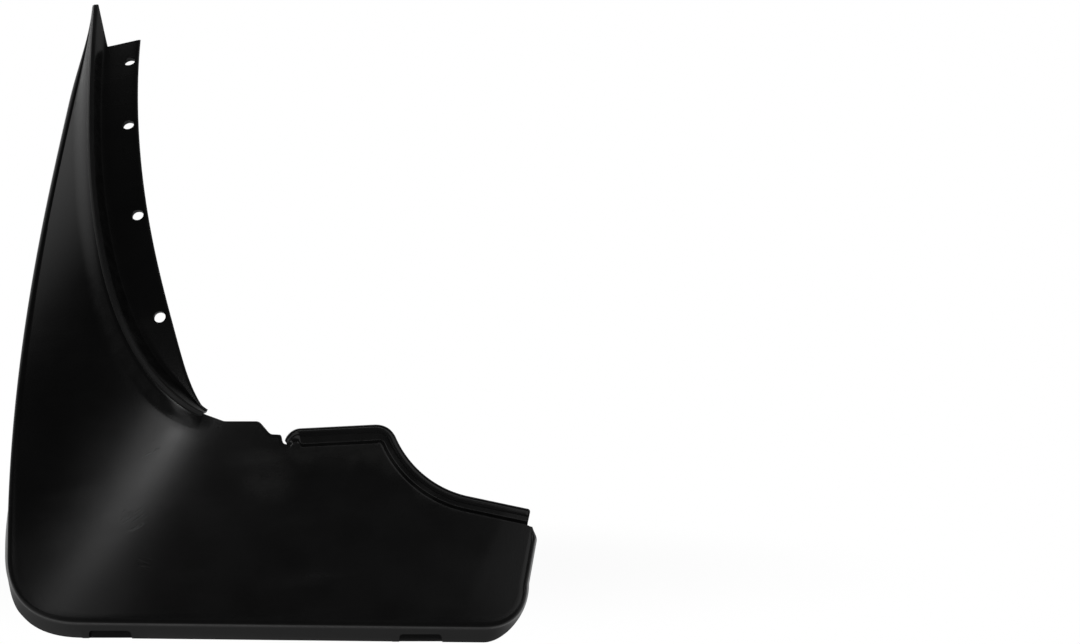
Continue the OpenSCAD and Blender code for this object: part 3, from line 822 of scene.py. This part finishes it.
@dataclass
class Dresser:
    """Makes the material of each finish from the shared effects."""

    effects: Effects
    scuffed: Sequence[tuple[Vector, float, float]]
    dust_and_sheen_spots: Sequence[tuple[Vector, float]]

    @staticmethod
    def use(tree: Tree, group: NodeTree, vector: NodeSocket, **values: object) -> Node:
        """Places a shared effect in a material, with its inputs by name."""
        node = tree.add("ShaderNodeGroup", node_tree=group)
        tree.link(vector, node.inputs["Vector"])
        for label, value in values.items():
            tree.link(value, node.inputs[label])
        return node

    def scuffs(self, tree: Tree, vector: NodeSocket) -> NodeSocket:
        """Mask of bundles of hairlines at the places where the skin was scuffed."""
        masks = []
        for spot, radius, degrees in self.scuffed:
            hair = tree.noise(tree.turned(vector, degrees, (60.0, 900.0, 1500.0)), 1.0, 1.0, 0.4)
            masks.append(tree.times(self.near(tree, vector, spot, radius), tree.span(hair, 0.58, 0.66)))
        return tree.most(masks)

    @staticmethod
    def near(tree: Tree, vector: NodeSocket, spot: Vector, radius: float) -> NodeSocket:
        """Mask that fades out around a spot."""
        return tree.span(tree.pair("DISTANCE", vector, spot), 0.25 * radius, radius, (1.0, 0.0))

    def dust_and_sheen(self, tree: Tree, vector: NodeSocket) -> NodeSocket:
        """Mask of wiped dust, which also paints a pale sheen, at the given places."""
        wiped = tree.noise(tree.turned(vector, 8.0, (30.0, 30.0, 85.0)), 1.0, 4.0, 0.6)
        broken = tree.span(wiped, 0.36, 0.66, (0.35, 1.0))
        return tree.times(tree.most([self.near(tree, vector, *place) for place in self.dust_and_sheen_spots]), broken)

    def material(self, finish: Finish) -> Material:
        """Builds the material of one finish."""
        made = bpy.data.materials.new(finish.name)
        tree = Tree.fresh(made)
        shader = tree.add("ShaderNodeBsdfPrincipled", IOR=1.5, Specular_IOR_Level=finish.specular)
        tree.link(shader.outputs[0], tree.add("ShaderNodeOutputMaterial").inputs[0])
        vector = tree.add("ShaderNodeTexCoord").outputs["Object"]
        grain = self.use(tree, self.effects.grain, vector, Size=finish.grain_size)
        marks = self.use(tree, self.effects.marks, vector, Scratches=finish.scratch, Smudges=finish.smudge)
        # Pale share of each vertex: edge wear, and painted light on some rows.
        edge = tree.add("ShaderNodeAttribute", attribute_name=WEAR_AND_LIGHT)
        wear_and_light = self.use(tree, self.effects.wear_and_light, vector, Edge=edge.outputs["Fac"]).outputs["WearAndLight"]
        scratch, smudge = marks.outputs["Scratch"], marks.outputs["Smudge"]
        if finish.scuffs_and_sheen:
            scratch = tree.math("MAXIMUM", scratch, self.scuffs(tree, vector))
        # On the skin, placed spots of dust that also paint a sheen; on other finishes, dust where smudged.
        dust_and_sheen = self.dust_and_sheen(tree, vector) if finish.scuffs_and_sheen else tree.times(smudge, 0.2)
        self._colour(tree, shader, finish, grain, wear_and_light, scratch, dust_and_sheen)
        self._rough(tree, shader, finish, grain, smudge, scratch)
        self._bump(tree, shader, finish, grain, scratch)
        return made

    @staticmethod
    def _colour(tree: Tree, shader: Node, finish: Finish, grain: Node,
                wear_and_light: NodeSocket, scratch: NodeSocket, dust_and_sheen: NodeSocket) -> None:
        """Base colour: slow drift in tone, paler on worn edges, in scratches and dust, and where painted
        light and painted sheen are put in.
        """
        drift = tree.span(grain.outputs["Tone"], 0.3, 0.7, (0.72, 1.28))
        base = tree.add("ShaderNodeMix", data_type="RGBA", blend_type="MULTIPLY")
        base.inputs["Factor"].default_value = 1.0
        base.inputs["A"].default_value = (*finish.colour, 1.0)
        grey = tree.add("ShaderNodeCombineColor")
        for channel in grey.inputs:
            tree.link(drift, channel)
        tree.link(grey.outputs[0], base.inputs["B"])
        worn_and_lit_share = tree.math("ADD", tree.times(wear_and_light, 0.6), tree.times(scratch, 0.8))
        shade = base.outputs["Result"]
        # Pale layers: wear with painted light, then dust with painted sheen.
        shares = ((tree.math("MINIMUM", worn_and_lit_share, 1.0), finish.worn_and_lit), (tree.times(dust_and_sheen, 0.6), DUST_AND_SHEEN))
        for share, colour in shares:
            layer = tree.add("ShaderNodeMix", data_type="RGBA")
            tree.link(share, layer.inputs["Factor"])
            tree.link(shade, layer.inputs["A"])
            layer.inputs["B"].default_value = (*colour, 1.0)
            shade = layer.outputs["Result"]
        tree.link(shade, shader.inputs["Base Color"])

    @staticmethod
    def _rough(tree: Tree, shader: Node, finish: Finish, grain: Node,
               smudge: NodeSocket, scratch: NodeSocket) -> None:
        """Roughness: drifts with the tone, duller on smudges, shinier in scratches."""
        half, change = finish.rough_spread / 2, 0.06
        ends = (finish.roughness - half, finish.roughness + half)
        drift = tree.span(grain.outputs["Tone"], 0.3, 0.7, ends)
        dull = tree.math("ADD", drift, tree.times(smudge, change))
        tree.link(tree.math("SUBTRACT", dull, tree.times(scratch, change)), shader.inputs["Roughness"])

    @staticmethod
    def _bump(tree: Tree, shader: Node, finish: Finish, grain: Node,
              scratch: NodeSocket) -> None:
        """Grain, drawn lines of an extrusion and cut scratches as one height in millimetres."""
        line_rate, line_depth, scratch_depth = 90.0, 0.008, 0.04
        height = tree.times(grain.outputs["Height"], finish.grain_depth)
        if finish.lines:
            side = tree.add("ShaderNodeAttribute", attribute_name=ACROSS).outputs["Fac"]
            wave = tree.math("SINE", tree.times(side, line_rate))
            height = tree.math("ADD", height, tree.times(wave, line_depth * finish.lines))
        cut = tree.math("SUBTRACT", height, tree.times(scratch, scratch_depth))
        bump = tree.add("ShaderNodeBump", Strength=0.5, Distance=MM)
        tree.link(cut, bump.inputs["Height"])
        tree.link(bump.outputs[0], shader.inputs["Normal"])


# Pieces

@dataclass
class Piece:
    """A sub-assembly that stands for one node of the part."""

    lines: MouldLines
    node: str
    slot: str
    crease: float = 32.0
    fine: int = 4

    def shell(self, front: Sequence[Array], back: Sequence[Array], wear_and_light: Array) -> Shell:
        """Wall between rows of the visible sheet and as many of the hidden one.

        wear_and_light says how pale each visible point is painted, by column and row: edge wear, and painted
        light on some rows.
        """
        return Shell(*(self.lines.to_part(np.stack(rows, axis=1)) for rows in (front, back)), wear_and_light)

    def place(self, obj: Object, material: Material) -> None:
        """Dresses a finished piece and puts it on the part's body."""
        soften(obj, self.crease)
        obj.data.materials.clear()
        obj.data.materials.append(material)
        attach(obj, BODY)
        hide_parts(self.node)
        LOG.info("%s: %d faces, %s", obj.name, len(obj.data.polygons), material.name)


@dataclass
class FlapSkin(Piece):
    """Lofted skin: flat panel, conical bend, swept wing, rim recess and rounded, flared skirt."""

    edge_rows: int = 24
    field_rows: int = 36
    round_rows: int = 8
    crease_rows: int = 5
    flare_rows: int = 3
    plain_edge: float = 0.6
    wing_grow: Pair = (4.0, 60.0)
    far_grow: Pair = (2.0, 10.0)
    edge_gap: float = 0.2
    round_end: float = 82.0
    heel_flare: float = 2.8
    heel_top: Pair = (52.0, 45.0)
    pocket_slope: float = 1.5
    pocket_corner: float = 2.0
    pocket_past: float = 2.0

    def skirt_share(self, u: Array) -> Array:
        """How far each column's plain edge has grown into the skirt."""
        m, q = self.lines, self.lines.outer(u)
        (below, wing_over), (above, far_over) = self.wing_grow, self.far_grow
        wing = smooth((m.wing_h - below - q[:, 1]) / wing_over)
        far = smooth((m.right_top()[1] + above - q[:, 1]) / far_over)
        return np.where(q[:, 0] < m.panel_w / 2, wing, far)

    def flare(self, u: Array) -> Array:
        """Outward flare of the skirt in each column."""
        m, q = self.lines, self.lines.outer(u)
        low = 1 - smooth((q[:, 1] - m.bottom_z() - m.bottom_rise) / (0.6 * m.left_corner))
        fade_from, fade_over = self.heel_top
        heel = self.heel_flare * (1 - low) * (1 - smooth((q[:, 1] - fade_from) / fade_over))
        turn = smooth((q[:, 0] - m.right_turn()[0][0]) / m.right_corner)
        far = lerp(m.bottom_flare, m.side_flare, turn)
        return np.where(q[:, 0] < m.panel_w / 2, m.bottom_flare * low + heel, far)

    def skirt(self, u: Array, back: bool) -> list[Array]:
        """Rows of the skirt's section, from the outline to its rear rim, on one side of its wall.

        Each has the distance out from the outline and the depth, one pair a column.
        """
        m, flare = self.lines, self.flare(u)
        r = m.edge_r - m.wall if back else m.edge_r
        end = np.stack([m.edge_r + flare, np.full_like(flare, m.edge_r + self.edge_gap + m.skirt_d)], axis=1)
        foot = np.array([r, m.edge_r + (8 * self.edge_gap if back else self.edge_gap)])
        if back:
            run = unit(np.stack([flare, np.full_like(flare, m.skirt_d)], axis=1))
            end = end + m.wall * np.stack([-run[:, 1], run[:, 0]], axis=1)
        angles = np.radians(np.linspace(0.0, self.round_end, self.round_rows + 1)[1:])
        rows = [np.broadcast_to([r * math.sin(a), m.edge_r - r * math.cos(a)], end.shape) for a in angles]
        leave = lerp(foot, end, 0.18)
        crease = [rows[-1], np.broadcast_to(foot, end.shape), leave]
        rows += [bezier(crease, s) for s in steps(self.crease_rows)]
        rows += [lerp(leave, end, s) for s in steps(self.flare_rows)]
        share = self.skirt_share(u)[:, None]
        out = []
        for n, row in enumerate(rows):
            s = (n + 1) / len(rows)
            plain = self.plain_edge * np.array([s, s * s])
            if back:
                plain = np.array([plain[0], m.wall - plain[1]])
            out.append(lerp(plain, row, share))
        return out

    def sheets(self) -> Shell:
        """Front and back sheets of the skin."""
        m = self.lines
        u = columns(0, m.last_col, self.fine)
        front = [m.skin_row(u, 4 * k / self.edge_rows) for k in range(self.edge_rows + 1)]
        start, rim = front[-1][:, [0, 2]], m.outer(u)
        for k in range(1, self.field_rows + 1):
            q = lerp(start, rim, k / self.field_rows)
            front.append(in3d(q, m.depth(q)))
        back = [set_back(p, m.wall_y(p[:, [0, 2]])) for p in front]
        aside, base = m.across(m.outer, u), m.depth(rim)
        for e, b in zip(self.skirt(u, False), self.skirt(u, True)):
            front.append(in3d(rim + e[:, :1] * aside, base + e[:, 1]))
            back.append(in3d(rim + b[:, :1] * aside, base + b[:, 1]))
        wear_and_light = np.zeros((len(u), len(front)))
        turn = len(front) - self.round_rows - self.crease_rows - self.flare_rows
        for k in range(self.round_rows):
            wear_and_light[:, turn + k] = math.sin(math.pi * (k + 1) / (self.round_rows + 1)) ** 2
        wear_and_light[:, -1] = 1.0
        # Rows in the rim step, and in the rise beside the ridge, are painted pale: painted light where the
        # crease and the valley are in shade, not wear.
        wear_and_light[:, self.edge_rows // 2:self.edge_rows] = 1.0
        wear_and_light[:, self.edge_rows:self.edge_rows + 2] = (0.7, 0.3)
        return self.shell(front, back, wear_and_light)

    def pocket_tools(self) -> list[tuple[Object, Cut]]:
        """Blocks behind the skirt, and the hollows that are cut into them."""
        m, corner = self.lines, self.pocket_corner
        face, half = m.edge_r + self.edge_gap, m.pocket_w / 2
        deep = face + self.pocket_past + m.skirt_d
        mouth, wide = half + self.pocket_slope, half + self.pocket_slope + m.wall
        roof, back = m.pocket_h + m.wall, deep + m.wall
        front = face + m.skirt_d * max(0.0, 1 - roof / m.bottom_flare) + 1.0
        section = [(front, roof), (face + m.skirt_d + 0.3, 0.0), (back, 0.0), (back, roof)]
        turn = np.radians(np.arange(0, 91, 10))
        side = [(half - corner + corner * math.cos(a), m.pocket_h - corner * (1 - math.sin(a))) for a in turn]
        outline = [(-mouth, -m.bottom_z()), (mouth, -m.bottom_z()), *side]
        outline += [(-p, z) for p, z in reversed(side)]
        tools = []
        for x in (m.pocket_left, m.panel_w - m.pocket_right):
            lift = m.bottom_at(x)[1] - m.bottom_z()
            corners = [m.to_part(np.array([x - wide, y, z + lift])) for y, z in section]
            block = swept_solid(corners, (2 * wide * MM, 0.0, 0.0))
            tools.append((to_object(block, "pocket_block"), Cut.ADD))
            hollow = prism([(x + p, z + lift) for p, z in outline], (m.edge_r + 0.6, deep), m)
            tools.append((to_object(hollow, "pocket_hollow"), Cut.REMOVE))
        return tools

    def build(self) -> Object:
        """Makes the skin and its pockets."""
        obj = to_object(self.sheets().to_bmesh(), "flap_skin_shell")
        apply_tools(obj, self.pocket_tools())
        return obj


@dataclass
class ArchFlange(Piece):
    """Return wall and drilled strip that lie on the wheel arch."""

    mounts: Sequence[dict] = ()
    lip_most: float = 1.6
    lip_share: float = 0.3
    burr: float = 0.25
    pin_past: float = 6.0
    root_share: float = 0.2
    end_drop: Pair = (7.7, 27.0)
    end_slope: float = 2.0
    end_turn: float = 10.0

    def lip(self, u: Array) -> Array:
        """Width of the rounding along the free edge."""
        return np.minimum(self.lip_most, self.lip_share * self.lines.strip_w(u))

    def sheets(self) -> Shell:
        """Front and back sheets, from the ridge over the return wall to the free edge."""
        m = self.lines
        u = columns(0, m.arch_cols, self.fine)
        foot, w, lip = m.wall_foot(u), m.strip_w(u), self.lip(u)
        thick = m.wall * m.arch_r / -m.arch_y(m.edge(u))
        top, shoulder, root = m.skin_row(u, 0.0), m.land_row(u), m.flange_row(u, foot, 0.0)
        behind = set_back(top, m.wall_y(m.edge(u)))
        heel = m.flange_row(u, foot - m.land_w(u), thick)

        def bend(points: Sequence[Array], n: int) -> list[Array]:
            """Rows of a rounded corner, without its first one."""
            return [bezier(points, s) for s in steps(n)]

        near = self.root_share * w
        front = [top, lerp(top, shoulder, 0.5)]
        front += bend([front[-1], shoulder, lerp(shoulder, root, 0.1)], 4)
        front += [lerp(shoulder, root, s) for s in (0.3, 0.55, 0.78)]
        front += bend([front[-1], root, m.flange_row(u, foot + near, 0.0)], 5)
        back = [behind] + [lerp(behind, heel, s) for s in (0.1, 0.2, 0.3, 0.4, 0.5, 0.6, 0.68, 0.78)]
        back += bend([back[-1], heel, m.flange_row(u, foot + near, thick)], 5)
        flat = w - lip
        for s in np.linspace(self.root_share, 1.0, 8)[1:]:
            e = foot + np.maximum(near, flat * s)
            front.append(m.flange_row(u, e, 0.0))
            back.append(m.flange_row(u, e, thick))
        for a in np.radians((30.0, 60.0, 90.0)):
            e = foot + flat + lip * math.sin(a)
            front.append(m.flange_row(u, e, lip * (1 - math.cos(a))))
            back.append(m.flange_row(u, e, thick))
        wear_and_light = np.zeros((len(u), len(front)))
        wear_and_light[:, -3:] = (0.5, 1.0, 0.8)
        # The shoulder and the return wall are painted pale, fading out towards the root: a painted
        # reflection, not wear.
        wear_and_light[:, 2:12] = (1.0, 1.0, 0.95, 0.9, 0.85, 0.75, 0.6, 0.4, 0.2, 0.1)
        return self.shell(front, back, wear_and_light)

    def hole_tool(self, mount: dict) -> Object:
        """Pin that cuts the hole of one mount, with a small break at both faces."""
        r, deep = mount["dims"]["r_mm"], mount["dims"]["length_mm"]
        burr, past, axis = self.burr, self.pin_past, Vector((0, 0, 1))
        wide = r + past * 0.9 + burr
        profile = [
            (0.0, past), (wide, past), (r + burr, 0.0), (r, -burr),
            (r, burr - deep), (r + burr, -deep), (wide, -deep - past), (0.0, -deep - past),
        ]
        bm = bmesh.new()
        verts = [bm.verts.new((x * MM, 0.0, z * MM)) for x, z in profile]
        lines = [bm.edges.new(pair) for pair in zip(verts, verts[1:])]
        bmesh.ops.spin(
            bm, geom=verts + lines, axis=axis, cent=(0, 0, 0), angle=2 * math.pi, steps=48, use_merge=True,
        )
        bmesh.ops.remove_doubles(bm, verts=bm.verts[:], dist=1e-7)
        turn = axis.rotation_difference(Vector(mount["axis"])).to_matrix().to_4x4()
        bmesh.ops.transform(bm, matrix=Matrix.Translation(mount["pos_m"]) @ turn, verts=bm.verts[:])
        bmesh.ops.recalc_face_normals(bm, faces=bm.faces[:])
        return to_object(bm, "hole_pin")

    def end_tool(self) -> Object:
        """Solid that cuts the flange short of the wing tip, along the return wall's sloping end."""
        m, far = self.lines, 60.0
        edge = m.edge(np.zeros(1))[0]
        vee = np.array([edge[0] + self.end_drop[0], m.wing_h - self.end_drop[1]])
        rise = far * math.tan(math.radians(m.arch_roll + self.end_slope))
        tip = edge + [m.cap_w / 2 + 0.2, 1.0]
        outline = [vee, tip, tip + [0.0, far], vee + [far, far + rise], vee + [far, rise]]
        bm = prism(outline, (-m.arch_r, 2 * m.arch_r), m)
        pivot = m.to_part(np.array([[tip[0], m.depth(edge[None])[0], 0.0]]))[0]
        spin = Matrix.Rotation(math.radians(self.end_turn), 3, "Z")
        bmesh.ops.rotate(bm, cent=Vector(pivot), matrix=spin, verts=bm.verts[:])
        return to_object(bm, "end_cut")

    def build(self) -> Object:
        """Makes the flange, its sloping end and its holes."""
        obj = to_object(self.sheets().to_bmesh(), "arch_flange_strip")
        tools = [(self.end_tool(), Cut.REMOVE)]
        tools += [(self.hole_tool(m), Cut.REMOVE) for m in self.mounts if m["kind"] == "bore"]
        apply_tools(obj, tools)
        return obj


def end_taper(u: Array, ends: Pair, reach: Pair) -> Array:
    """Width factor that rounds the two ends of a strip, each over its reach in columns."""
    least = 0.15
    near = np.clip(np.minimum((u - ends[0]) / reach[0], (ends[1] - u) / reach[1]), 0.0, 1.0)
    return np.maximum(least, np.sqrt(np.maximum(0.0, 1 - (1 - near) ** 2)))


def strip_columns(first: float, last: float, fine: int, reach: Pair) -> Array:
    """Columns of a strip, closer together where its ends are rounded."""
    tight = 1 - np.cos(np.linspace(0.0, math.pi / 2, 8))
    middle = columns(first, last, fine)
    inside = middle[(middle > first + reach[0]) & (middle < last - reach[1])]
    return np.concatenate([first + reach[0] * tight, inside, (last - reach[1] * tight)[::-1]])


@dataclass
class ArchCapping(Piece):
    """Domed rubber strip on the arch ridge, with a rounded tip."""

    cross: int = 16
    reach: Pair = (0.29, 1.6)
    side_h: float = 0.4
    squareness: float = 3.2
    roundness: float = 0.55

    def build(self) -> Object:
        """Makes the strip on the two lands of the ridge."""
        m = self.lines
        u = strip_columns(0.0, m.arch_cols, self.fine, self.reach)
        ridge, skin, land = m.skin_row(u, 0.0), m.skin_row(u, 1.0), m.land_row(u)
        taper = end_taper(u, (0.0, m.arch_cols), self.reach)
        base, dome, wear_and_light = [], [], []
        for c in np.linspace(-1.0, 1.0, self.cross + 1):
            side = skin if c > 0 else land
            row = lerp(ridge, side, (abs(c) * taper)[:, None])
            crown = (1 - abs(c) ** self.squareness) ** self.roundness
            rise = m.cap_h * (self.side_h + (1 - self.side_h) * crown) * taper**0.5
            base.append(row)
            dome.append(set_back(row, -rise))
            wear_and_light.append(np.full(len(u), abs(c) ** 6 * 0.3))
        return to_object(self.shell(dome, base, np.stack(wear_and_light, axis=1)).to_bmesh(), "arch_capping_strip")


@dataclass
class RimTrim(Piece):
    """Rubber channel over the rim, from the notch to the far end."""

    steps: int = 4
    reach: Pair = (0.7, 0.35)
    bulge: tuple[Pair, ...] = (
        (0.0, 0.8), (0.0, 1.4), (-0.7, 1.0), (-1.0, 0.0), (-0.7, -1.0), (0.0, -1.4), (0.0, -0.8),
    )

    def build(self) -> Object:
        """Makes the channel: a seat on the rim and a rounded outside."""
        m = self.lines
        u = strip_columns(m.curl_col, m.last_col, self.fine, self.reach)
        seat, tip = m.skin_row(u, 1.0), m.skin_row(u, 0.0)
        t = np.array([0.0, m.wall, 0.0])
        inner = [seat + t, lerp(seat, tip, 0.5) + t, tip + t, tip + t / 2, tip, lerp(tip, seat, 0.5), seat]
        nose = in3d(m.across(m.edge, u), 0.0) * m.trim_nose
        taper = end_taper(u, (m.curl_col, m.last_col), self.reach)[:, None]
        outer = [p + taper * (a * nose + np.array([0.0, b, 0.0])) for p, (a, b) in zip(inner, self.bulge)]
        front, back, wear_and_light = [], [], []
        for n in range(6):
            before, after = outer[max(n - 1, 0)], outer[min(n + 2, 6)]
            for s in np.linspace(0.0, 1.0, self.steps + 1)[(1 if n else 0):]:
                a, b = outer[n], outer[n + 1]
                pull = (a + (b - before) / 6, b - (after - a) / 6)
                front.append(bezier([a, *pull, b], s))
                back.append(lerp(inner[n], inner[n + 1], s))
                wear_and_light.append(np.full(len(u), 0.5 if n in (2, 3) else 0.0))
        return to_object(self.shell(front, back, np.stack(wear_and_light, axis=1)).to_bmesh(), "rim_trim_channel")


# Studio

def heading(azimuth: float, elevation: float) -> Vector:
    """Direction away from the object, from degrees to the right of the camera's side and up."""
    a, e = math.radians(azimuth), math.radians(elevation)
    return Vector((math.sin(a) * math.cos(e), -math.cos(a) * math.cos(e), math.sin(e)))


@dataclass(frozen=True)
class SoftBox:
    """A soft box that faces the object, placed by its direction as seen from the object."""

    name: str
    azimuth: float
    elevation: float
    distance: float
    size: Pair
    radiance: float
    roll: float = 0.0

    def build(self, aim: Triple) -> None:
        """Adds the light, facing a point and hidden from the camera."""
        away = heading(self.azimuth, self.elevation)
        data = bpy.data.lights.new(self.name, "AREA")
        data.shape = "RECTANGLE"
        data.size, data.size_y = self.size
        data.energy = self.radiance * math.pi * self.size[0] * self.size[1]
        light = bpy.data.objects.new(self.name, data)
        light.location = Vector(aim) + self.distance * away
        facing = away.to_track_quat("Z", "Y") @ Quaternion((0.0, 0.0, 1.0), math.radians(self.roll))
        light.rotation_euler = facing.to_euler()
        light.visible_camera = False
        bpy.context.scene.collection.objects.link(light)


@dataclass
class Studio:
    """Camera, lights, floor and the white room behind the object."""

    floor_z: float
    eye: Triple = (0.20999, -1.32784, -0.00288)
    lens: float = 80.2
    aim: Triple = (0.06, 0.0, 0.0)
    floor_r: float = 0.5
    floor_mid: Pair = (0.06, 0.4)
    floor_sheen: float = 0.28
    sheen_from: Pair = (-0.027, -0.0245)
    room: float = 0.037
    cove: float = 0.037
    window: float = 0.467
    window_at: Pair = (-129.3, 36.2)
    backdrop: float = 0.5
    boxes: tuple[SoftBox, ...] = (
        SoftBox("front_left_box", -23.6, 3.9, 1.0, (0.238, 0.444), 1.28, 18.0),
        SoftBox("front_right_box", 29.6, -3.4, 1.0, (0.73, 1.14), 0.507),
        SoftBox("front_left_core", -18.5, 0.9, 1.043, (0.05, 0.05), 18.0),
        SoftBox("low_left_box", -20.0, -14.6, 1.089, (0.18, 0.05), 0.9),
        SoftBox("front_top_box", -2.0, 23.0, 1.1, (0.5, 0.12), 2.0),
        SoftBox("side_strip", 76.0, 4.0, 1.2, (0.2, 0.8), 1.0),
        SoftBox("valley_box", -29.5, -12.5, 1.07, (0.13, 0.14), 0.9),
        SoftBox("back_box", 212.0, 26.0, 1.3, (0.6, 0.6), 1.0),
    )

    def camera(self) -> None:
        """Camera at the photograph's viewing angle."""
        data = bpy.data.cameras.new("camera")
        data.lens, data.sensor_width = self.lens, 36.0
        view = bpy.data.objects.new("camera", data)
        view.location = self.eye
        view.rotation_euler = (math.pi / 2, 0.0, 0.0)
        bpy.context.scene.collection.objects.link(view)
        bpy.context.scene.camera = view

    def world(self) -> None:
        """White for the camera, and a dim room for other rays.

        The room has a pale cove, a window high on the left behind the object, and a backdrop behind
        the object that is dimmer on the right.
        """
        made = bpy.data.worlds.new("room")
        tree = Tree.fresh(made)
        path = tree.add("ShaderNodeLightPath")
        sky = tree.add("ShaderNodeTexCoord").outputs["Generated"]
        part = tree.split(sky)
        side = tree.times(tree.math("ABSOLUTE", part["X"]), 0.28)
        low = tree.times(part["Z"], -1.2)
        sweep = tree.math("ADD", part["Y"], tree.math("ADD", side, low))
        cove = tree.span(sweep, -0.9, 0.05, (self.room, self.room + self.cove))
        towards = tree.pair("DOT_PRODUCT", sky, heading(*self.window_at))
        window = tree.span(towards, 0.69, 1.0, (0.0, self.window))
        window = tree.times(window, tree.span(part["Z"], 0.72, 0.9, (1.0, 0.1)))
        behind = tree.span(part["Y"], 0.4, 0.9, (0.0, self.backdrop))
        behind = tree.times(behind, tree.span(part["X"], -0.3, 0.1, (1.0, 0.12)))
        dim = tree.math("ADD", cove, tree.math("ADD", window, behind))
        level = tree.math("MAXIMUM", dim, path.outputs["Is Camera Ray"])
        back = tree.add("ShaderNodeBackground", Color=(1.0, 1.0, 1.0, 1.0))
        tree.link(level, back.inputs["Strength"])
        tree.link(back.outputs[0], tree.add("ShaderNodeOutputWorld").inputs[0])
        bpy.context.scene.world = made

    def floor(self) -> None:
        """Pale round floor that keeps a faint shadow, fades into the room and is mirrored in the skirt."""
        bm = bmesh.new()
        bmesh.ops.create_circle(bm, cap_ends=True, segments=96, radius=self.floor_r)
        bmesh.ops.translate(bm, verts=bm.verts[:], vec=(*self.floor_mid, self.floor_z))
        floor = to_object(bm, "floor")
        made = bpy.data.materials.new("floor_white")
        tree = Tree.fresh(made)
        path = tree.add("ShaderNodeLightPath")
        lit = tree.add("ShaderNodeBsdfDiffuse", Color=(0.85, 0.85, 0.85, 1.0))
        glow = tree.add("ShaderNodeEmission", Color=(1.0, 1.0, 1.0, 1.0), Strength=1.0)
        vector = tree.add("ShaderNodeTexCoord").outputs["Object"]
        away = tree.pair("DISTANCE", vector, (*self.floor_mid, self.floor_z))
        fade = tree.span(away, 0.1, 0.9 * self.floor_r, (0.95, 1.0))
        # From the flap's foot backwards the floor glows for glossy rays: a painted reflection that the skirt
        # mirrors.
        under = tree.span(tree.split(vector)["Y"], *self.sheen_from, (0.0, self.floor_sheen))
        seen = tree.times(path.outputs["Is Camera Ray"], fade)
        mirrored = tree.times(path.outputs["Is Glossy Ray"], under)
        mix = tree.add("ShaderNodeMixShader")
        tree.link(tree.math("MAXIMUM", seen, mirrored), mix.inputs[0])
        tree.link(lit.outputs[0], mix.inputs[1])
        tree.link(glow.outputs[0], mix.inputs[2])
        tree.link(mix.outputs[0], tree.add("ShaderNodeOutputMaterial").inputs[0])
        floor.data.materials.append(made)
        floor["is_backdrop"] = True

    def build(self) -> None:
        """Sets up the whole studio."""
        bpy.context.scene.view_settings.view_transform = "Standard"
        self.camera()
        self.world()
        self.floor()
        for box in self.boxes:
            box.build(self.aim)


# Marks on the skin, and the whole model

SCUFFS = (((75.9, 106.1), 9.0, 35.0), ((67.8, 68.9), 13.0, 35.0), ((73.7, 45.1), 7.0, -20.0))
# Spots of wiped dust, mostly under the tab, that also paint in a pale sheen on the panel's upper zone.
DUST_AND_SHEEN_SPOTS = (
    ((160.0, 106.0), 15.0), ((172.0, 105.0), 15.0), ((184.0, 106.0), 15.0), ((196.0, 107.0), 15.0),
    ((208.0, 100.0), 13.0), ((226.0, 84.0), 10.0), ((140.0, 92.0), 20.0),
)


def on_skin(lines: MouldLines, spots: Sequence[tuple]) -> list[tuple]:
    """Takes marks on the skin to the part's frame.

    Each has a front-view point and a radius in millimetres, and any further values.
    """
    rows = []
    for spot, radius, *rest in spots:
        q = np.array(spot)
        rows.append((Vector(lines.to_part(in3d(q, lines.depth(q)))), radius * MM, *rest))
    return rows


def main() -> None:
    """Builds the studio and the four pieces."""
    logging.basicConfig(level=logging.INFO, format="%(name)s: %(message)s")
    cad_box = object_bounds()
    lines = MouldLines()
    Studio(floor_z=float(cad_box[0][2])).build()
    dresser = Dresser(Effects(), on_skin(lines, SCUFFS), on_skin(lines, DUST_AND_SHEEN_SPOTS))
    pieces = (
        (FlapSkin(lines, "flap_skin", "skin_plastic"), SKIN),
        (ArchFlange(lines, "arch_flange", "flange_plastic", mounts=frame["record"]["mounts"]), FLANGE),
        (ArchCapping(lines, "arch_capping", "capping_rubber"), CAPPING),
        (RimTrim(lines, "rim_trim", "trim_rubber"), TRIM),
    )
    for piece, finish in pieces:
        piece.place(piece.build(), dresser.material(finish))
    boxes = {"cad": cad_box, "visual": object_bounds()}
    {name: [list(map(float, corner)) for corner in box] for name, box in boxes.items()}


if __name__ == "__main__":
    main()
